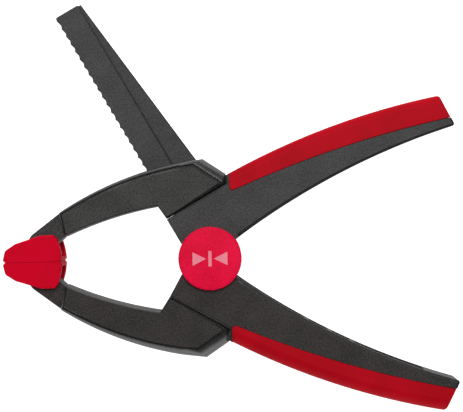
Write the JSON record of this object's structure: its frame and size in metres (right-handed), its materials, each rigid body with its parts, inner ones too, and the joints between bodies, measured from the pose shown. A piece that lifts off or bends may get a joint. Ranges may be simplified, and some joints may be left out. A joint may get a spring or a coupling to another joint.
{
  "type": "variable spring clamp",
  "caption": "Hand spring clamp with a fixed jaw, a jaw that slides on a toothed rail, swivelling pads and soft grips.",
  "frame": {"origin": "on the pivot axis, at the flat underside of the rear cap that the clamp lies on", "axes": "+X from the pads towards the handles, +Y towards the sliding jaw and its rail, +Z along the pivot pin towards the front cap"},
  "size_m": [0.1546, 0.1418, 0.021],
  "materials": {
    "black_plastic": "fine-grained glass-filled nylon, moulded",
    "red_grip": "satin soft grip, moulded over the handle",
    "red_pad": "matte soft pad",
    "red_cap": "fine-grained moulded cap with a printed mark",
    "spring_steel": "drawn spring wire",
    "pin_steel": "zinc plated",
    "sleeve_plastic": "natural acetal"
  },
  "bodies": {
    "fixed_arm": {"lower_arm": "black_plastic", "lower_grip": "red_grip", "torsion_spring": "spring_steel", "spring_sleeve": "sleeve_plastic", "pivot_pin": "pin_steel", "retaining_ring": "spring_steel", "front_cap": "red_cap", "rear_cap": "red_cap"},
    "moving_arm": {"upper_arm": "black_plastic", "upper_grip": "red_grip"},
    "jaw": {"sliding_jaw": "black_plastic"},
    "jaw_pad": {"upper_pad": "red_pad"},
    "fixed_pad": {"lower_pad": "red_pad"}
  },
  "joints": [
    {"name": "squeeze", "type": "hinge", "parent": "fixed_arm", "child": "moving_arm", "pos_m": [0, 0, 0.0105], "axis": [0, 0, -1], "range_deg": [0, 50], "stiffness_Nm_per_rad": 1.7, "springref_deg": -28.65, "deforming": ["torsion_spring"]},
    {"name": "jaw_slide", "type": "slide", "parent": "moving_arm", "child": "jaw", "axis": [-0.4924, 0.8704, 0], "range_m": [0, 0.05]},
    {"name": "jaw_pad_swivel", "type": "hinge", "parent": "jaw", "child": "jaw_pad", "pos_m": [-0.058, 0.0062, 0.0105], "axis": [0, 0, 1], "range_deg": [0, 25]},
    {"name": "fixed_pad_swivel", "type": "hinge", "parent": "fixed_arm", "child": "fixed_pad", "pos_m": [-0.058, -0.0062, 0.0105], "axis": [0, 0, -1], "range_deg": [0, 25]}
  ],
  "couplings": [
    {"joint": "jaw_pad_swivel", "follows": "squeeze", "ratio": 0.5},
    {"joint": "fixed_pad_swivel", "follows": "squeeze", "ratio": 0.5}
  ]
}
